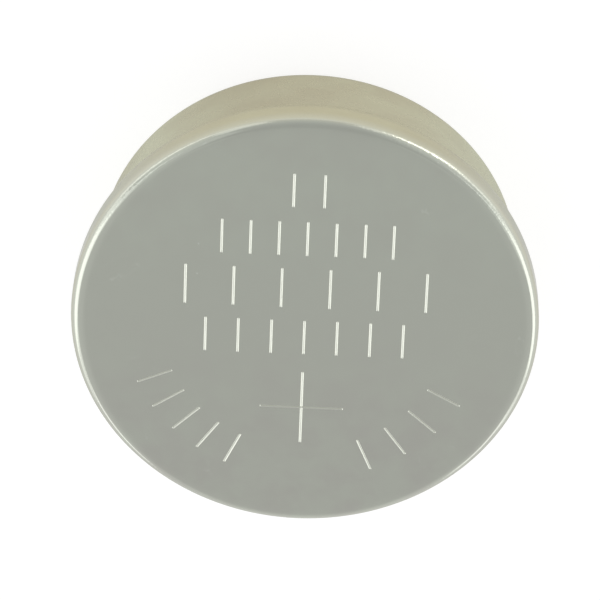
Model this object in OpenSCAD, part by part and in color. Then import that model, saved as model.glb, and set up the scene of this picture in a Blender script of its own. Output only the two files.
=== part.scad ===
// Lithium coin cell with a shallow positive can crimped over a deep negative cap.
// The cell stands on its negative face, and the positive face is on top.
// Every piece is turned about the Z axis from a half section in the X-Y plane.

/* [Outside] */
// Outer diameter of the positive can
can_d = 24.5; // [24:0.1:30]
// Height of the cell from the negative face to the positive face
cell_h = 7.7; // [7:0.1:10]
// How far the wall of the negative cap stands in from the wall of the can
cap_inset = 1.1; // [1:0.05:1.3]

/* [Positive can] */
// Thickness of the can's sheet
can_t = 0.25; // [0.2:0.01:0.3]
// Outer radius of the edge round the positive face
can_edge_r = 0.5; // [0.35:0.05:0.7]
// Distance from the positive face to where the wall starts to turn in
can_wall_h = 1.35; // [1.2:0.05:1.6]
// Outer radius of the crimp
crimp_r = 1.5; // [1.4:0.05:1.7]
// Gap between the can's lip and the wall of the cap
lip_gap = 0.25; // [0.15:0.01:0.35]

/* [Negative cap] */
// Thickness of the cap's sheet
cap_t = 0.25; // [0.2:0.01:0.3]
// Outer radius of the edge round the negative face
cap_edge_r = 0.9; // [0.5:0.05:1.2]
// Height of the ply that is folded back outside the cap's rim
fold_h = 1.1; // [0.9:0.05:1.25]
// Gap between the two plies of the fold
fold_gap = 0.1; // [0.05:0.01:0.15]

/* [Sealing gasket] */
// Thickness of the gasket between the cap's rim and the floor of the can
gasket_foot_t = 0.45; // [0.3:0.05:0.6]
// How far the foot reaches in from the inside of the cap's wall
gasket_foot_reach = 1; // [0.7:0.05:1.5]
// Thickness of the leg that stands inside the cap's wall
gasket_leg_t = 0.4; // [0.3:0.05:0.6]
// Height of that leg above the foot
gasket_leg_h = 2.6; // [1.5:0.1:3.5]
// How far the gasket shows past the can's lip
gasket_proud = 0.08; // [0.04:0.01:0.15]

/* [Cathode] */
// Running gap between the gasket's foot and the support ring
ring_gap = 0.1; // [0.05:0.05:0.3]
// Thickness of the support ring's sheet
ring_t = 0.2; // [0.15:0.05:0.3]
// Height of the support ring
ring_h = 2.2; // [1.5:0.1:3]
// Width of the ring's flange under the cathode pellet
ring_flange_w = 1.2; // [0.8:0.1:3]

/* [Anode and separator] */
// How far the lithium disc reaches past the edge of the cathode pellet
lithium_reach = 0.1; // [0:0.05:0.2]
// Thickness of the lithium disc
lithium_t = 1.7; // [1:0.1:2.2]
// Thickness of the separator cup
separator_t = 0.2; // [0.15:0.05:0.3]
// Radial gap between the separator cup and the cathode pellet
separator_gap = 0.03; // [0.01:0.01:0.1]

/* [Hidden] */
$fn = 144;

// Walls and floors of the two metal shells
can_r = can_d / 2;
can_floor_z = cell_h - can_t;
cap_r = can_r - cap_inset;
cap_in_r = cap_r - cap_t;

// Centre of the crimp's arc, and the angle below level at which the lip ends
crimp_x = can_r - crimp_r;
crimp_z = cell_h - can_wall_h;
lip_angle = acos((cap_r + lip_gap - crimp_x) / (crimp_r - can_t));
lip_z = crimp_z - crimp_r * sin(lip_angle);

// Folded rim of the cap, seated on the gasket's foot
rim_r = cap_r + fold_gap + cap_t;
rim_z = can_floor_z - gasket_foot_t;
fold_r = (rim_r - cap_in_r) / 2;

// Foot and leg of the gasket
foot_in_r = cap_in_r - gasket_foot_reach;
leg_in_r = cap_in_r - gasket_leg_t;

// Stack inside, from the can's floor down to the cap's floor
ring_r = foot_in_r - ring_gap;
pellet_r = ring_r - ring_t;
pellet_z = cap_t + lithium_t + separator_t;
ring_z = can_floor_z - ring_h;
lithium_r = pellet_r + lithium_reach;

// Distance past the section that a cutting shape runs
past = 2;

// Half section of the can filled to the axis, with its outside moved in by inset
module can_outline(inset) {
    edge_x = can_r - can_edge_r;
    edge_z = cell_h - can_edge_r;
    rect([0, crimp_z], [can_r - inset, edge_z]);
    rect([0, crimp_z], [edge_x, cell_h - inset]);
    rect([0, crimp_z - crimp_r + inset], [crimp_x, crimp_z]);
    translate([edge_x, edge_z])
        circle(r = can_edge_r - inset);
    intersection() {
        translate([crimp_x, crimp_z])
            circle(r = crimp_r - inset);
        rect([0, 0], [can_r, crimp_z]);
    }
}

// Half section of the cap filled to the axis, with its outside moved in by inset
module cap_outline(inset) {
    edge_x = cap_r - cap_edge_r;
    rect([0, inset], [edge_x, rim_z - fold_r]);
    rect([0, cap_edge_r], [cap_r - inset, rim_z - fold_r]);
    translate([edge_x, cap_edge_r])
        circle(r = cap_edge_r - inset);
}

// Rectangle from its low corner to its high corner
module rect(low, high) {
    translate(low)
        square(high - low);
}

// Half section of the cap's folded rim, with its inner ply, outer ply and fold filled
module rim_outline() {
    rect([cap_in_r, rim_z - fold_h], [rim_r, rim_z - fold_r]);
    translate([rim_r - fold_r, rim_z - fold_r])
        circle(r = fold_r);
}

// Gap between the plies of the folded rim, open at the free end of the outer ply
module fold_space() {
    rect([cap_r, rim_z - fold_h - past], [cap_r + fold_gap, rim_z - fold_r]);
    translate([rim_r - fold_r, rim_z - fold_r])
        circle(r = fold_gap / 2);
}

// Wedge below the crimp's centre that cuts the lip square to its sheet
module lip_cut() {
    reach = crimp_r + past;
    translate([crimp_x, crimp_z])
        polygon([[0, 0], [0, -reach], [reach / tan(lip_angle), -reach]]);
}

// Shallow can: the positive face, a rounded edge, the wall and the crimp
module positive_can() {
    color([0.64, 0.645, 0.61])
    rotate_extrude()
    difference() {
        can_outline(0);
        can_outline(can_t);
        rect([-past, 0], [crimp_x, crimp_z]);
        lip_cut();
    }
}

// Deep cap: the negative face, a rounded edge, the wall and the folded rim
module negative_cap() {
    color([0.71, 0.69, 0.59])
    rotate_extrude()
    difference() {
        union() {
            cap_outline(0);
            rim_outline();
        }
        cap_outline(cap_t);
        rect([-past, rim_z - fold_r], [cap_in_r, rim_z + past]);
        fold_space();
    }
}

// Bead of the gasket that shows between the can's lip and the cap's wall
module gasket_bead() {
    bead_z = lip_z - gasket_proud + lip_gap;
    rect([cap_r, bead_z], [cap_r + lip_gap, crimp_z]);
    intersection() {
        translate([cap_r, bead_z])
            circle(r = lip_gap);
        rect([cap_r, 0], [can_r, crimp_z]);
    }
}

// Moulded gasket: a foot on the can's floor, an outer leg squeezed by the crimp
// over the cap's folded rim, and an inner leg that stands inside the cap
module sealing_gasket() {
    color([0.2, 0.21, 0.22])
    rotate_extrude()
    difference() {
        union() {
            difference() {
                can_outline(can_t);
                rect([-past, 0], [foot_in_r, cell_h]);
                rect([-past, 0], [cap_in_r, rim_z]);
            }
            rect([leg_in_r, rim_z - gasket_leg_h], [cap_in_r, can_floor_z]);
            gasket_bead();
        }
        rim_outline();
        rect([cap_in_r, 0], [cap_r, rim_z - fold_r]);
    }
}

// Support ring: a wall round the pellet and a flange flush with the pellet's base
module cathode_ring() {
    color([0.6, 0.6, 0.6])
    rotate_extrude() {
        rect([pellet_r, ring_z], [ring_r, can_floor_z]);
        rect([ring_r - ring_flange_w, can_floor_z - ring_t], [ring_r, can_floor_z]);
    }
}

// Pressed cathode pellet, rebated round its base for the ring's flange
module cathode_pellet() {
    color([0.12, 0.12, 0.13])
    rotate_extrude() {
        rect([0, pellet_z], [pellet_r, can_floor_z - ring_t]);
        rect([0, pellet_z], [ring_r - ring_flange_w, can_floor_z]);
    }
}

// Separator cup over the pellet, from the lithium to the edge of the support ring
module separator_cup() {
    cup_in_r = pellet_r + separator_gap;
    color([0.93, 0.93, 0.9])
    rotate_extrude()
    difference() {
        rect([0, pellet_z - separator_t], [cup_in_r + separator_t, ring_z]);
        rect([-past, pellet_z], [cup_in_r, ring_z + past]);
    }
}

// Lithium disc pressed on the floor of the cap
module lithium_anode() {
    color([0.75, 0.76, 0.78])
    translate([0, 0, cap_t])
        cylinder(h = lithium_t, r = lithium_r);
}

positive_can();
negative_cap();
sealing_gasket();
cathode_ring();
cathode_pellet();
separator_cup();
lithium_anode();
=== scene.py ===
import math
import random

import bpy
from mathutils import Matrix, Vector
from mathutils.geometry import delaunay_2d_cdt


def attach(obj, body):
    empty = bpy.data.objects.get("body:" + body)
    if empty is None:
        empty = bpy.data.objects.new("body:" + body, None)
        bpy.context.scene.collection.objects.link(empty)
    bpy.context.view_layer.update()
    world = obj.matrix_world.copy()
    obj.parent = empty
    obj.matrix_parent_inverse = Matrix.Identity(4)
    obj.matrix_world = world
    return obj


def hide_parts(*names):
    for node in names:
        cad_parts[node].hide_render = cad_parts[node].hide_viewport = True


# Looks of a stepped coin cell. Sections, marks and the materials' coordinates are in millimetres.
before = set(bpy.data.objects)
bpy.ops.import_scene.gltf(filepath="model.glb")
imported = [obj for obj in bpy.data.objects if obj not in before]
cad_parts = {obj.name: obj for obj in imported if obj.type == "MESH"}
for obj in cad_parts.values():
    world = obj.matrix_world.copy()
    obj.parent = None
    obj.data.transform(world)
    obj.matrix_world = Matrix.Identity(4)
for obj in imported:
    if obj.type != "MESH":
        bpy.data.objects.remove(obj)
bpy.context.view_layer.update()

MM = 0.001
# Corners in one turn of a shell
TURN = 288
# Ends of runs nearer than this meet, and vertices that agree to this many decimals are one
SAME = 1e-6
KEY_DIGITS = 5
# Kind of triangulation that keeps what lies inside the outlines
CDT_INSIDE = 1
UP = (0.0, 0.0, 1.0)
rng = random.Random(24)

# Sizes of the shells, as the solids have them
CAN_R = 12.25
CELL_H = 7.7
CAN_T = 0.25
CAN_EDGE_R = 0.5
CRIMP_R = 1.5
CRIMP_Z = 6.35
LIP_ANGLE = 58.67
CAP_R = 11.15
CAP_T = 0.25
CAP_EDGE_R = 0.9
FOLD_Z = 6.7
FOLD_R = 0.3
FOLD_GAP = 0.1
FOLD_FREE_Z = 5.9
# Softening of a sheared edge of the sheet
SHEAR_R = 0.045
# The marked face rolls off to this slope, in degrees, over this width inside its rounded edge
SHOULDER_W = 0.4
SHOULDER_SLOPE = 3.5
SHOULDER_STEPS = 8
# The slope grows with this power of the way across the shoulder
SHOULDER_POWER = 1.5


# Sections

def arc(r, z, radius, start, end, steps, hollow=False):
    """Points of an arc in the half section, with outward normals; 0 degrees points away from the axis."""
    side = -1 if hollow else 1
    run = []
    for i in range(steps + 1):
        a = math.radians(start + (end - start) * i / steps)
        c, s = math.cos(a), math.sin(a)
        run.append((r + radius * c, z + radius * s, side * c, side * s))
    return run


def line(a, b):
    """Both ends of a straight stretch, with the normal on its left side as the section runs."""
    dr, dz = b[0] - a[0], b[1] - a[1]
    length = math.hypot(dr, dz)
    return [(a[0] + dr * i, a[1] + dz * i, -dz / length, dr / length) for i in (0, 1)]


def joined(*runs):
    """Runs of a section with straight stretches put in where one ends away from the next one's start."""
    out = []
    for run in runs:
        if out:
            a, b = out[-1][-1], run[0]
            if math.hypot(a[0] - b[0], a[1] - b[1]) > SAME:
                out.append(line(a[:2], b[:2]))
        out.append(run)
    return out


def circle(radius):
    """Corners of one turn at a radius."""
    angles = [2 * math.pi * i / TURN for i in range(TURN)]
    return [(radius * math.cos(a), radius * math.sin(a)) for a in angles]


class Turned:
    """A mesh turned from runs of a section, with its true normals at every corner."""

    def __init__(self):
        self.verts = []
        self.faces = []
        self.normals = []
        self.places = {}

    def vert(self, x, y, z):
        key = (round(x, KEY_DIGITS), round(y, KEY_DIGITS), round(z, KEY_DIGITS))
        if key not in self.places:
            self.places[key] = len(self.verts)
            self.verts.append((x * MM, y * MM, z * MM))
        return self.places[key]

    def face(self, corners):
        """Add a face from corners of (point, normal), without those that fall on the one before."""
        ids = [self.vert(*p) for p, n in corners]
        kept = [i for i in range(len(ids)) if ids[i] != ids[i - 1]]
        if len(kept) > 2:
            self.faces.append([ids[i] for i in kept])
            self.normals += [corners[i][1] for i in kept]

    def turn(self, runs):
        spokes = circle(1)
        for run in runs:
            for a, b in zip(run, run[1:]):
                for here, there in zip(spokes, spokes[1:] + spokes[:1]):
                    corners = []
                    for (r, z, nr, nz), (c, s) in ((a, here), (b, here), (b, there), (a, there)):
                        corners.append(((r * c, r * s, z), (nr * c, nr * s, nz)))
                    self.face(corners)

    def build(self, name):
        mesh = bpy.data.meshes.new(name)
        mesh.from_pydata(self.verts, [], self.faces)
        mesh.shade_smooth()
        mesh.normals_split_custom_set(self.normals)
        obj = bpy.data.objects.new(name, mesh)
        bpy.context.scene.collection.objects.link(obj)
        return obj


# Marks on the face

# Share of a groove's half width in from its lip, and the slope of its wall there, in degrees
GROOVE = [(0.0, 0), (0.06, 14), (0.14, 24), (0.3, 32), (0.5, 36), (0.7, 32), (0.86, 22), (0.95, 10)]
# Width of a stroke, the radius of its corners as a share of half of that, and the steps round each
MARK_W = 0.15
END_ROUND = 0.7
CORNER_STEPS = 4
# The plus sign, the radius in its four inner corners, and its width against a stroke's
PLUS_SIZE = 4.42
PLUS_AT = (0.0, -4.99)
CORNER_R = 0.03
PLUS_WIDER = 1.04
# Rows of upright strokes, each with its y, the strokes' height, the row's width and its count
ROWS = [(8.1, 2.0, 3.2, 2), (5.26, 2.05, 10.4, 7), (2.3, 2.4, 15.1, 6), (-0.68, 2.1, 12.1, 7)]
# Strokes that point to the face's middle, with the first and last one's angle and the count
ARC_R = 8.5
ARC_HIGH = 2.0
ARCS = [(203.7, 245.0, 5), (293.7, 331.6, 4)]
# How far a stroke's width, as a share, its length and its place stray
WIDTH_STRAY = 0.06
LENGTH_STRAY = 0.02
PLACE_STRAY = 0.01


def turned(p, c, s):
    """A point or direction turned by the angle with this cosine and sine."""
    return (p[0] * c - p[1] * s, p[0] * s + p[1] * c)


def end_points(along, half, t):
    """Points round a stroke's far end at inset t, anticlockwise, with their directions out of the stroke."""
    q = END_ROUND * half * (1 - t)
    out = []
    for sign, start in ((-1, -90), (1, 0)):
        for i in range(CORNER_STEPS + 1):
            a = math.radians(start + 90 * i / CORNER_STEPS)
            c, s = math.cos(a), math.sin(a)
            out.append(((along - t * half - q + q * c, sign * (half * (1 - t) - q) + q * s), (c, s)))
    return out


def stroke_ring(length, width, t):
    """Outline of a straight groove at inset t, anticlockwise, as points with directions."""
    ring = []
    for turn in (0, math.pi):
        c, s = math.cos(turn), math.sin(turn)
        for p, o in end_points(length / 2, width / 2, t):
            ring.append((turned(p, c, s), turned(o, c, s)))
    return ring


def plus_ring(size, width, t):
    """Outline of a plus-shaped groove at inset t, anticlockwise, as points with directions."""
    half = width / 2
    inner = half * (1 - t)
    diagonal = math.sqrt(0.5)
    mid = inner + CORNER_R * (1 - diagonal)
    corner = [
        ((inner + CORNER_R, inner), (0.0, 1.0)),
        ((mid, mid), (diagonal, diagonal)),
        ((inner, inner + CORNER_R), (1.0, 0.0)),
    ]
    ring = []
    for c, s in ((1, 0), (0, 1), (-1, 0), (0, -1)):
        for p, o in end_points(size / 2, half, t) + corner:
            ring.append((turned(p, c, s), turned(o, c, s)))
    return ring


def groove_levels(make_ring, place, turn, half):
    """Rings of a groove from lip to bottom: lists of (point, normal) in the row frame."""
    c, s = math.cos(turn), math.sin(turn)
    levels = []
    depth, last_t, last_slope = 0.0, 0.0, 0
    for t, slope in GROOVE:
        depth += (t - last_t) * half * math.tan(math.radians((slope + last_slope) / 2))
        last_t, last_slope = t, slope
        a = math.radians(slope)
        ring = []
        for (x, y), o in make_ring(t):
            p = (place[0] + x * c - y * s, place[1] + x * s + y * c, CELL_H - depth)
            o = turned(o, c, s)
            ring.append((p, (-o[0] * math.sin(a), -o[1] * math.sin(a), math.cos(a))))
        levels.append(ring)
    return levels


def stroke_levels(length, width, place, turn):
    """Rings of a straight groove, from lip to bottom."""
    return groove_levels(lambda t: stroke_ring(length, width, t), place, turn, width / 2)


def marks():
    """Every groove on the face: the plus sign, and plain strokes in rows and along two arcs."""
    plus_w = MARK_W * PLUS_WIDER
    out = [groove_levels(lambda t: plus_ring(PLUS_SIZE, plus_w, t), PLUS_AT, 0, plus_w / 2)]
    for y, high, wide, count in ROWS:
        pitch = wide / count
        for i in range(count):
            x = (i - (count - 1) / 2) * pitch
            width = MARK_W * rng.uniform(1 - WIDTH_STRAY, 1 + WIDTH_STRAY)
            length = high + rng.uniform(-LENGTH_STRAY, LENGTH_STRAY)
            at = [v + rng.uniform(-PLACE_STRAY, PLACE_STRAY) for v in (x, y)]
            out.append(stroke_levels(length, width, at, math.pi / 2))
    for first, final, count in ARCS:
        for i in range(count):
            a = math.radians(first + (final - first) * i / (count - 1))
            width = MARK_W * rng.uniform(1 - WIDTH_STRAY, 1 + WIDTH_STRAY)
            at = (ARC_R * math.cos(a), ARC_R * math.sin(a))
            out.append(stroke_levels(ARC_HIGH, width, at, a))
    return out


def inside(p, ring):
    """Whether a point lies inside a closed outline."""
    hit = False
    for (ax, ay), (bx, by) in zip(ring, ring[1:] + ring[:1]):
        if (ay > p[1]) != (by > p[1]) and p[0] < ax + (p[1] - ay) / (by - ay) * (bx - ax):
            hit = not hit
    return hit


def flat_round(piece, rim, outlines):
    """The flat of the face, inside its rim and outside the outline of every groove."""
    rings = [rim] + outlines
    points, edges = [], []
    for ring in rings:
        first = len(points)
        points += [Vector(p) for p in ring]
        edges += [(first + i, first + (i + 1) % len(ring)) for i in range(len(ring))]
    _, _, faces, sources, _, _ = delaunay_2d_cdt(points, edges, [], CDT_INSIDE, SAME)
    flat = [p for ring in rings for p in ring]
    coords = [flat[source[0]] for source in sources]
    boxes = []
    for ring in outlines:
        xs, ys = [p[0] for p in ring], [p[1] for p in ring]
        boxes.append((min(xs), max(xs), min(ys), max(ys), ring))
    for f in faces:
        x, y = sum(coords[i][0] for i in f) / 3, sum(coords[i][1] for i in f) / 3
        if not any(a < x < b and c < y < d and inside((x, y), ring) for a, b, c, d, ring in boxes):
            piece.face([((coords[i][0], coords[i][1], CELL_H), UP) for i in f])


def groove_faces(piece, levels):
    """The walls of a groove, and a fan over its narrow bottom."""
    for outer, inner in zip(levels, levels[1:]):
        for i in range(len(outer)):
            j = (i + 1) % len(outer)
            piece.face([outer[i], outer[j], inner[j], inner[i]])
    bottom = levels[-1]
    mid = tuple(sum(p[k] for p, n in bottom) / len(bottom) for k in range(3))
    for i in range(len(bottom)):
        piece.face([bottom[i], bottom[(i + 1) % len(bottom)], (mid, UP)])


def marked_face(piece, radius):
    """The flat middle of the face, out to radius, with the grooves let into it."""
    grooves = marks()
    flat_round(piece, circle(radius), [[p[:2] for p, n in levels[0]] for levels in grooves])
    for levels in grooves:
        groove_faces(piece, levels)


# Shells

def shoulder(edge_x):
    """The shoulder between the flat and the rounded edge, and its drop, a hundredth of a millimetre."""
    run = []
    drop, last = 0.0, 0.0
    for i in range(SHOULDER_STEPS + 1):
        slope = math.radians(SHOULDER_SLOPE) * (i / SHOULDER_STEPS) ** SHOULDER_POWER
        drop += SHOULDER_W / SHOULDER_STEPS * math.tan((slope + last) / 2)
        last = slope
        r = edge_x - SHOULDER_W + SHOULDER_W * i / SHOULDER_STEPS
        run.append((r, CELL_H - drop, math.sin(slope), math.cos(slope)))
    return run, drop


def rounded_edge(edge_x, edge_z, drop):
    """The can's rounded edge, squeezed by the shoulder's drop, so that it still ends at the wall."""
    run = arc(edge_x, edge_z, CAN_EDGE_R, 90 - SHOULDER_SLOPE, 0, steps=20)
    top = edge_z + CAN_EDGE_R * math.cos(math.radians(SHOULDER_SLOPE))
    squeeze = (CELL_H - drop - edge_z) / (top - edge_z)
    shift = run[0][0] - edge_x
    return [(r - shift * (z - edge_z) / (top - edge_z), edge_z + (z - edge_z) * squeeze, nr, nz)
            for r, z, nr, nz in run]


def make_can():
    """The positive can: marked face, rounded edge, short wall and the crimp with its lip."""
    edge_x, edge_z = CAN_R - CAN_EDGE_R, CELL_H - CAN_EDGE_R
    crimp_x = CAN_R - CRIMP_R
    roll, drop = shoulder(edge_x)
    # Centres of the two small arcs that soften the lip's sheared end, and the angles where they start
    centres, ends = [], []
    for radius in (CRIMP_R - SHEAR_R, CRIMP_R - CAN_T + SHEAR_R):
        ends.append(-LIP_ANGLE + math.degrees(math.asin(SHEAR_R / radius)))
        a = math.radians(ends[-1])
        centres.append((crimp_x + radius * math.cos(a), CRIMP_Z + radius * math.sin(a)))
    runs = joined(
        roll,
        rounded_edge(edge_x, edge_z, drop),
        arc(crimp_x, CRIMP_Z, CRIMP_R, 0, ends[0], steps=28),
        arc(*centres[0], SHEAR_R, ends[0], -LIP_ANGLE - 90, steps=4),
        arc(*centres[1], SHEAR_R, -LIP_ANGLE - 90, ends[1] - 180, steps=4),
        arc(crimp_x, CRIMP_Z, CRIMP_R - CAN_T, ends[1], 0, steps=16, hollow=True),
        arc(edge_x, edge_z, CAN_EDGE_R - CAN_T, 0, 90, steps=8, hollow=True),
        [(0.0, CELL_H - CAN_T, 0.0, -1.0)],
    )
    piece = Turned()
    marked_face(piece, edge_x - SHOULDER_W)
    piece.turn(runs)
    return piece.build("can_shell")


def make_cap():
    """The negative cap: plain face, rounded edge, wall and the folded rim inside the seam."""
    edge_x = CAP_R - CAP_EDGE_R
    fold_x = CAP_R + FOLD_GAP / 2
    rim_r = CAP_R + FOLD_GAP + CAP_T
    free_z = FOLD_FREE_Z + SHEAR_R
    runs = joined(
        [(0.0, CAP_T, 0.0, 1.0)],
        arc(edge_x, CAP_EDGE_R, CAP_EDGE_R - CAP_T, -90, 0, steps=10, hollow=True),
        arc(fold_x, FOLD_Z, FOLD_R, 180, 0, steps=16),
        arc(rim_r - SHEAR_R, free_z, SHEAR_R, 0, -90, steps=4),
        arc(rim_r - CAP_T + SHEAR_R, free_z, SHEAR_R, -90, -180, steps=4),
        arc(fold_x, FOLD_Z, FOLD_GAP / 2, 0, 180, steps=8, hollow=True),
        arc(edge_x, CAP_EDGE_R, CAP_EDGE_R, 0, -90, steps=24),
        [(0.0, 0.0, 0.0, -1.0)],
    )
    piece = Turned()
    piece.turn(runs)
    return piece.build("cap_shell")


# Materials

class Nodes:
    """A short way to write a node tree."""

    def __init__(self, tree):
        self.tree = tree
        tree.nodes.clear()

    def add(self, kind, inputs=None, **settings):
        node = self.tree.nodes.new(kind)
        for key, value in settings.items():
            setattr(node, key, value)
        for key, value in (inputs or {}).items():
            self.feed(node.inputs[key], value)
        return node

    def feed(self, socket, value):
        """Link a socket to another one, or set its value."""
        if isinstance(value, bpy.types.NodeSocket):
            self.tree.links.new(value, socket)
        else:
            socket.default_value = value

    def math(self, op, *values):
        return self.add("ShaderNodeMath", dict(enumerate(values)), operation=op).outputs[0]

    def noise(self, coords, scale, detail=2.0, rough=0.5):
        inputs = {"Vector": coords, "Scale": scale, "Detail": detail, "Roughness": rough}
        return self.add("ShaderNodeTexNoise", inputs).outputs["Fac"]

    def stretch(self, coords, by):
        return self.add("ShaderNodeMapping", {"Vector": coords, "Scale": by}).outputs["Vector"]

    def split(self, vector):
        return self.add("ShaderNodeSeparateXYZ", {"Vector": vector}).outputs

    def ramp(self, value, low, high, out_low=0.0, out_high=1.0):
        """A smooth step from out_low at low to out_high at high; low may be the larger."""
        inputs = {"Value": value, "From Min": low, "From Max": high, "To Min": out_low, "To Max": out_high}
        node = self.add("ShaderNodeMapRange", inputs, interpolation_type="SMOOTHSTEP")
        return node.outputs["Result"]

    def mix(self, factor, a, b, blend="MIX"):
        """Colour b over colour a by factor; the sockets go by number, because their names repeat."""
        inputs = {0: factor, 6: a, 7: b}
        return self.add("ShaderNodeMix", inputs, data_type="RGBA", blend_type=blend).outputs[2]


def rgb(r, g, b):
    return (r, g, b, 1.0)


def material(name):
    mat = bpy.data.materials.new(name)
    mat.use_nodes = True
    return mat, Nodes(mat.node_tree)


def finish_surface(n, color, rough, height, bump, distance, **fixed):
    """Principled surface with varying colour, roughness and height, and fixed numbers on its own sockets."""
    bumped = n.add("ShaderNodeBump", {"Height": height, "Strength": bump, "Distance": distance})
    inputs = {"Base Color": color, "Roughness": rough, "Normal": bumped.outputs["Normal"]}
    inputs.update({key.replace("_", " "): value for key, value in fixed.items()})
    surface = n.add("ShaderNodeBsdfPrincipled", inputs)
    n.add("ShaderNodeOutputMaterial", {"Surface": surface.outputs[0]})


def millimetres(n):
    """Object coordinates in millimetres, which are the row frame's own."""
    coords = n.add("ShaderNodeTexCoord").outputs["Object"]
    return n.stretch(coords, (1000, 1000, 1000))


# Share of a perfect metal's mirroring that the plating keeps at a grazing angle
EDGE_TINT = rgb(0.78, 0.78, 0.76)
# Heights on the can, in millimetres, between which the wall's upper tint, a painted reflection that is warmer
# on the +Y side, and then the face's colour come in
TINT_FADE = (6.7, 7.4)
FACE_FADE = (7.28, 7.62)
# Heights between which a mark's floor looks struck and gets a painted highlight, the scuffs of the edge come
# in, and the crimp turns dull
STRUCK_PAINTED_BRIGHT = (7.698, 7.692)
SCUFFED = (7.69, 7.62)
DULL = (6.3, 5.9)
# Distances from the axis between which the marked part of the face begins
MARKED = (11.2, 11.1)
# Worn stretches of the rounded edge, at about 50 and 138 degrees: the level direction of each, how far out
# along it the wear starts and is full, and how many times deeper the scuffs are there
WORN = (((0.643, 0.766), (10.2, 11.6), 5.0), ((-0.743, 0.669), (10.6, 11.8), 3.0))


def along(n, place, way):
    """How far a point lies along a level direction."""
    return n.math("MULTIPLY_ADD", place["X"], way[0], n.math("MULTIPLY", place["Y"], way[1]))


def can_plating(n, at, y, z):
    """Colour of the can's nickel: a grey face with faint blotches and painted shading that makes it lighter
    towards +Y, and a smeared wall with a painted reflection, warm on the +Y side and a lighter grey towards
    the sides.
    """
    # Painted shading: the face's colour is darker towards -Y and lighter towards +Y.
    face = n.mix(n.ramp(y, -10.0, 9.0), rgb(0.586, 0.592, 0.536), rgb(0.622, 0.658, 0.576))
    blotch = n.noise(at, 0.45, 4.0, 0.6)
    face = n.mix(n.ramp(blotch, 0.3, 0.7), face, rgb(0.608, 0.634, 0.560))
    smear = n.noise(n.stretch(at, (0.35, 0.35, 0.8)), 1.0, 3.0)
    wall = n.mix(n.ramp(smear, 0.3, 0.7), rgb(0.612, 0.580, 0.405), rgb(0.587, 0.550, 0.384))
    # Painted reflection: the wall is warm and darker on the +Y side, and a lighter neutral grey towards the
    # sides and -Y.
    wall = n.mix(n.ramp(y, 5.0, 12.4), rgb(0.665, 0.680, 0.588), wall)
    # Painted reflection near the top of the wall as well: warmer on the +Y side, lighter grey towards the
    # sides.
    upper_painted_reflection = n.mix(n.ramp(y, 8.0, 11.5), rgb(0.685, 0.680, 0.565), rgb(0.622, 0.607, 0.466))
    wall = n.mix(n.ramp(z, *TINT_FADE), wall, upper_painted_reflection)
    return n.mix(n.ramp(z, *FACE_FADE), wall, face)


def specked(n, at, out, color):
    """The colour with a few light and dark specks, and short fine scratches near the rounded edge."""
    dots = n.add("ShaderNodeTexVoronoi", {"Vector": at, "Scale": 0.9}).outputs
    pick = n.split(dots["Color"])["X"]
    dot = n.ramp(dots["Distance"], 0.05, 0.03)
    light = n.math("MULTIPLY", dot, n.ramp(pick, 0.86, 0.87))
    color = n.mix(light, color, rgb(1.16, 1.17, 1.20), "MULTIPLY")
    dark = n.math("MULTIPLY", dot, n.ramp(pick, 0.05, 0.04))
    color = n.mix(dark, color, rgb(0.72, 0.72, 0.74), "MULTIPLY")
    vein = n.math("ABSOLUTE", n.math("SUBTRACT", n.noise(at, 0.7, 3.0, 0.6), 0.5))
    patch = n.math("MULTIPLY", n.ramp(n.noise(at, 0.5), 0.62, 0.66), n.ramp(out, 7.5, 9.5))
    scratch = n.math("MULTIPLY", n.ramp(vein, 0.010, 0.004), patch)
    return n.mix(scratch, color, rgb(1.06, 1.06, 1.07), "MULTIPLY")


def scuffs(n, at, place):
    """Height of fine scuffs that break up the rounded edge's shine, most of all in two worn stretches."""
    scuff = n.noise(n.stretch(at, (1, 1, 0.5)), 7.0, 2.0, 0.6)
    right, left = [n.ramp(along(n, place, way), *reach, 1.0, times) for way, reach, times in WORN]
    worn = n.math("MAXIMUM", right, left)
    return n.math("MULTIPLY", scuff, n.math("MULTIPLY_ADD", n.ramp(place["Z"], *SCUFFED), worn, 0.1))


def nickel_can():
    mat, n = material("nickel_can")
    at = millimetres(n)
    place = n.split(at)
    x, y, z = place["X"], place["Y"], place["Z"]
    out = n.math("SQRT", n.math("MULTIPLY_ADD", x, x, n.math("MULTIPLY", y, y)))
    # The marks are struck by a matt punch, which makes their floors rougher; their lighter colour is a
    # painted highlight that makes the marks read bright
    struck_and_painted_bright = n.math("MULTIPLY", n.ramp(z, *STRUCK_PAINTED_BRIGHT), n.ramp(out, *MARKED))
    color = n.mix(struck_and_painted_bright, can_plating(n, at, y, z), rgb(0.725, 0.745, 0.665))
    color = specked(n, at, out, color)
    polish = n.ramp(n.noise(at, 1.3, 4.0, 0.6), 0.3, 0.7, 0.12, 0.16)
    rough = n.math("MULTIPLY_ADD", struck_and_painted_bright, 0.20, polish)
    # The crimp is duller from its die
    rough = n.math("ADD", rough, n.ramp(z, *DULL, 0.0, 0.3))
    height = scuffs(n, at, place)
    finish_surface(n, color, rough, height, bump=0.3, distance=0.00001, Metallic=1.0, Specular_Tint=EDGE_TINT)
    return mat


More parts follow.
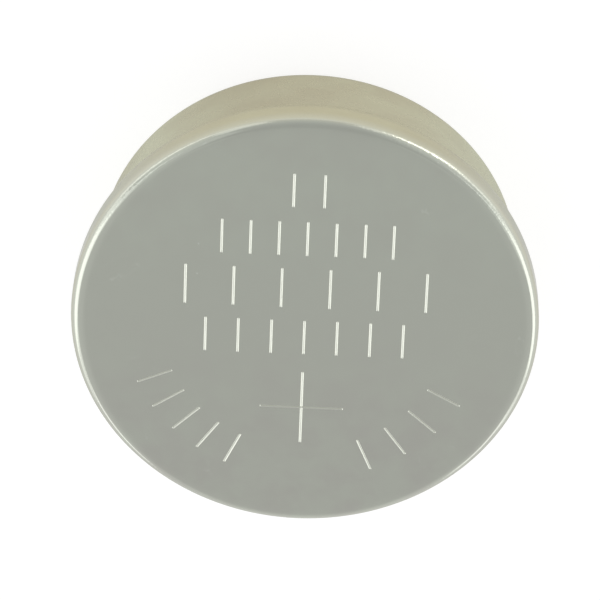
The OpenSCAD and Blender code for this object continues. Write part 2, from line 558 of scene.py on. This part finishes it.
def nickel_cap():
    mat, n = material("nickel_cap")
    at = millimetres(n)
    place = n.split(at)
    smear = n.noise(n.stretch(at, (0.3, 0.3, 0.55)), 1.0, 4.0, 0.55)
    # Painted reflection: the cap is darker towards -X and lighter towards +X, lighter and more neutral at the
    # sides and -Y, and warmer and darker on the +Y side.
    painted_reflection_tone = n.mix(n.ramp(place["X"], -7.0, 6.0), rgb(0.556, 0.527, 0.381), rgb(0.627, 0.604, 0.439))
    painted_reflection_tone = n.mix(n.ramp(place["Y"], 7.0, 11.2), rgb(0.700, 0.705, 0.535), painted_reflection_tone)
    color = n.mix(n.ramp(smear, 0.35, 0.68), painted_reflection_tone, rgb(0.94, 0.92, 0.92), "MULTIPLY")
    rough = n.ramp(n.noise(at, 0.9, 3.0), 0.3, 0.7, 0.25, 0.30)
    finish_surface(n, color, rough, smear, bump=0.1, distance=0.00001, Metallic=1.0, Specular_Tint=EDGE_TINT)
    return mat


def moulded_plastic():
    mat, n = material("moulded_plastic")
    at = millimetres(n)
    color = n.mix(n.noise(at, 1.5), rgb(0.040, 0.040, 0.044), rgb(0.060, 0.060, 0.064))
    rough = n.ramp(n.noise(at, 4.0), 0.3, 0.7, 0.42, 0.52)
    finish_surface(n, color, rough, n.noise(at, 12.0), bump=0.2, distance=0.00002)
    return mat


def ring_steel():
    mat, n = material("ring_steel")
    at = millimetres(n)
    lines = n.noise(n.stretch(at, (1, 1, 12)), 2.0, 3.0)
    color = n.mix(lines, rgb(0.48, 0.48, 0.47), rgb(0.56, 0.56, 0.55))
    rough = n.ramp(lines, 0.3, 0.7, 0.28, 0.38)
    finish_surface(n, color, rough, lines, bump=0.15, distance=0.00001, Metallic=1.0)
    return mat


def pressed_powder():
    mat, n = material("pressed_powder")
    at = millimetres(n)
    grain = n.noise(at, 14.0, 5.0, 0.7)
    color = n.mix(grain, rgb(0.010, 0.010, 0.011), rgb(0.030, 0.030, 0.032))
    rough = n.ramp(grain, 0.3, 0.7, 0.75, 0.95)
    finish_surface(n, color, rough, grain, bump=0.5, distance=0.00004)
    return mat


def nonwoven():
    mat, n = material("nonwoven")
    at = millimetres(n)
    fibre = n.noise(n.stretch(at, (3, 14, 6)), 1.5, 5.0, 0.7)
    color = n.mix(fibre, rgb(0.74, 0.74, 0.70), rgb(0.88, 0.88, 0.85))
    rough = n.ramp(fibre, 0.3, 0.7, 0.8, 0.95)
    finish_surface(n, color, rough, fibre, bump=0.5, distance=0.00005)
    return mat


def rolled_lithium():
    mat, n = material("rolled_lithium")
    at = millimetres(n)
    roll = n.noise(n.stretch(at, (0.4, 6, 1)), 1.2, 4.0)
    color = n.mix(roll, rgb(0.56, 0.57, 0.60), rgb(0.66, 0.67, 0.69))
    rough = n.ramp(roll, 0.3, 0.7, 0.40, 0.55)
    finish_surface(n, color, rough, roll, bump=0.25, distance=0.00002, Metallic=1.0)
    return mat


# Pieces

def dress(obj, mat):
    obj.data.materials.clear()
    obj.data.materials.append(mat)


for shell, node, slot, mat in (
    (make_can(), "positive_can", "can_nickel", nickel_can()),
    (make_cap(), "negative_cap", "cap_nickel", nickel_cap()),
):
    dress(shell, mat)
    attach(shell, "root")
    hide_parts(node)

for node, mat in (
    ("sealing_gasket", moulded_plastic()),
    ("cathode_ring", ring_steel()),
    ("cathode_pellet", pressed_powder()),
    ("separator_cup", nonwoven()),
    ("lithium_anode", rolled_lithium()),
):
    dress(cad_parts[node], mat)


# Floor, light and camera

FLOOR_SIDE = 3.0
# How pale the floor is where it lights the object
FLOOR_PALE = 0.92
# Where a camera or a mirror looks at it: its glow, what a camera sees on top of that, and the share of
# light that it scatters, which keeps the object's shadow
FLOOR_GLOW = 0.60
FLOOR_LIFT = 0.17
FLOOR_SEEN = 0.36
# Level of the room at the horizon, its change up to overhead, and its change towards +Y
ROOM_LEVEL = 0.79
ROOM_UP = -0.28
ROOM_BACK = -0.05
# Each panel's name, its X, its low and high corner in Y and Z, in metres, and the level that it adds to the
# room's. The wide and core ones give the highlights at the cell's sides, the back ones those at the edge near
# -Y, the strips, the near one and the card those at the edge near +Y, and the line ones a fine second line
# there. The rest lift what the edge mirrors between and above them. Panels that overlap stand at different X,
# because a mirror ray misses the second of two in one plane.
PANELS = (
    ("left_wide", -0.40, (-0.52, 0.03), (0.09, 0.56), 0.38),
    ("left_core", -0.38, (-0.34, 0.09), (-0.015, 0.42), 0.38),
    ("left_back", -0.41, (-1.05, 0.22), (-0.56, 0.52), 0.62),
    ("left_strip", -0.36, (0.08, 0.003), (0.46, 0.10), 0.42),
    ("left_side", -0.41, (0.15, 0.12), (0.46, 0.58), 0.09),
    ("left_far", -0.36, (0.47, 0.01), (1.20, 0.45), 0.25),
    ("left_mid", -0.41, (-0.15, 0.59), (0.60, 1.30), 0.12),
    ("left_top", -0.42, (-2.40, 0.70), (-0.20, 3.50), 0.07),
    ("left_high", -0.39, (-0.20, 0.57), (-0.06, 0.72), 0.22),
    ("left_line", -0.39, (0.09, 0.33), (0.16, 0.41), 0.65),
    ("left_line_up", -0.39, (0.16, 0.38), (0.22, 0.47), 0.35),
    ("right_wide", 0.40, (-0.58, 0.045), (0.09, 0.40), 0.38),
    ("right_core", 0.38, (-0.34, 0.09), (0.01, 0.34), 0.38),
    ("right_back", 0.41, (-1.05, 0.22), (-0.59, 0.52), 0.66),
    ("right_near", 0.36, (0.09, 0.003), (0.27, 0.10), 0.48),
    ("right_strip", 0.36, (0.28, 0.003), (0.68, 0.085), 1.45),
    ("right_card", 0.030, (0.0235, 0.0006), (0.052, 0.0085), 0.70),
    ("right_side", 0.41, (0.13, 0.12), (0.68, 0.58), 0.09),
    ("right_far", 0.36, (0.69, 0.01), (1.20, 0.45), 0.25),
    ("right_mid", 0.41, (-0.10, 0.59), (0.60, 1.20), 0.06),
    ("right_top", 0.42, (-2.40, 0.62), (-0.15, 3.50), 0.05),
    ("right_high", 0.39, (-0.20, 0.43), (-0.06, 0.68), 0.27),
    ("right_line", 0.39, (0.09, 0.33), (0.15, 0.41), 0.70),
)
# The photograph's camera, from a fit to the cell's outline: its lens and sensor, its place, and the
# directions that are right and up in the picture
CAMERA_LENS = 268.1
CAMERA_SENSOR = 36
CAMERA_AT = (1.03, 120.28, 207.9)
CAMERA_RIGHT = (0.9991, 0.0333, -0.0263)
CAMERA_UP = (-0.0420, 0.8596, -0.5093)
# Nearest and farthest distance that it sees, in metres
CAMERA_NEAR = 0.01
CAMERA_FAR = 10


def make_floor():
    mesh = bpy.data.meshes.new("floor")
    h = FLOOR_SIDE / 2
    mesh.from_pydata([(-h, -h, 0), (h, -h, 0), (h, h, 0), (-h, h, 0)], [], [(0, 1, 2, 3)])
    obj = bpy.data.objects.new("floor", mesh)
    bpy.context.scene.collection.objects.link(obj)
    mat, n = material("floor_white")
    path = n.add("ShaderNodeLightPath").outputs
    seen = n.math("MAXIMUM", path["Is Camera Ray"], path["Is Glossy Ray"])
    seen = n.math("MAXIMUM", seen, path["Is Transmission Ray"])
    plain = n.add("ShaderNodeBsdfDiffuse", {"Color": rgb(FLOOR_PALE, FLOOR_PALE, FLOOR_PALE)})
    level = n.math("MULTIPLY_ADD", path["Is Camera Ray"], FLOOR_LIFT, FLOOR_GLOW)
    glow = n.add("ShaderNodeEmission", {"Color": rgb(1, 1, 1), "Strength": level})
    shade = n.add("ShaderNodeBsdfDiffuse", {"Color": rgb(FLOOR_SEEN, FLOOR_SEEN, FLOOR_SEEN)})
    white = n.add("ShaderNodeAddShader", {0: glow.outputs[0], 1: shade.outputs[0]})
    both = n.add("ShaderNodeMixShader", {0: seen, 1: plain.outputs[0], 2: white.outputs[0]})
    n.add("ShaderNodeOutputMaterial", {"Surface": both.outputs[0]})
    dress(obj, mat)


def make_world():
    """White for the camera, and a soft gradient for the metal and the light."""
    world = bpy.data.worlds.new("studio")
    bpy.context.scene.world = world
    world.use_nodes = True
    n = Nodes(world.node_tree)
    way = n.split(n.add("ShaderNodeTexCoord").outputs["Generated"])
    level = n.math("MULTIPLY_ADD", way["Z"], ROOM_UP, ROOM_LEVEL)
    level = n.math("MULTIPLY_ADD", way["Y"], ROOM_BACK, level)
    room = n.add("ShaderNodeBackground", {"Color": rgb(1, 1, 1), "Strength": level})
    white = n.add("ShaderNodeBackground", {"Color": rgb(1, 1, 1), "Strength": 1.0})
    camera = n.add("ShaderNodeLightPath").outputs["Is Camera Ray"]
    both = n.add("ShaderNodeMixShader", {0: camera, 1: room.outputs[0], 2: white.outputs[0]})
    n.add("ShaderNodeOutputWorld", {"Surface": both.outputs[0]})


def softbox(name, x, low, high, level):
    """An upright panel at X, between its low and high corner in Y and Z, that shines towards X = 0."""
    light = bpy.data.lights.new(name, "AREA")
    light.shape = "RECTANGLE"
    light.size = high[0] - low[0]
    light.size_y = high[1] - low[1]
    # A mirror ray that meets the lamp sees its energy over four times its area
    light.energy = 4 * light.size * light.size_y * level
    obj = bpy.data.objects.new(name, light)
    # The lamp shines along its own -Z
    side = 1 if x < 0 else -1
    across = Vector((0, side, 0))
    back = Vector((-side, 0, 0))
    down = back.cross(across)
    mid = (x, (low[0] + high[0]) / 2, (low[1] + high[1]) / 2)
    obj.matrix_world = Matrix.Translation(mid) @ Matrix((across, down, back)).transposed().to_4x4()
    obj.visible_camera = False
    bpy.context.scene.collection.objects.link(obj)


def make_camera():
    camera = bpy.data.cameras.new("camera")
    camera.lens = CAMERA_LENS
    camera.sensor_width = CAMERA_SENSOR
    camera.clip_start = CAMERA_NEAR
    camera.clip_end = CAMERA_FAR
    obj = bpy.data.objects.new("camera", camera)
    right, up = Vector(CAMERA_RIGHT), Vector(CAMERA_UP)
    back = right.cross(up).normalized()
    up = back.cross(right.normalized()).normalized()
    right = up.cross(back)
    turn = Matrix((right, up, back)).transposed().to_4x4()
    obj.matrix_world = Matrix.Translation(Vector(CAMERA_AT) * MM) @ turn
    bpy.context.scene.collection.objects.link(obj)
    bpy.context.scene.camera = obj


make_floor()
make_world()
for panel in PANELS:
    softbox(*panel)
make_camera()
bpy.context.scene.view_settings.view_transform = "Standard"
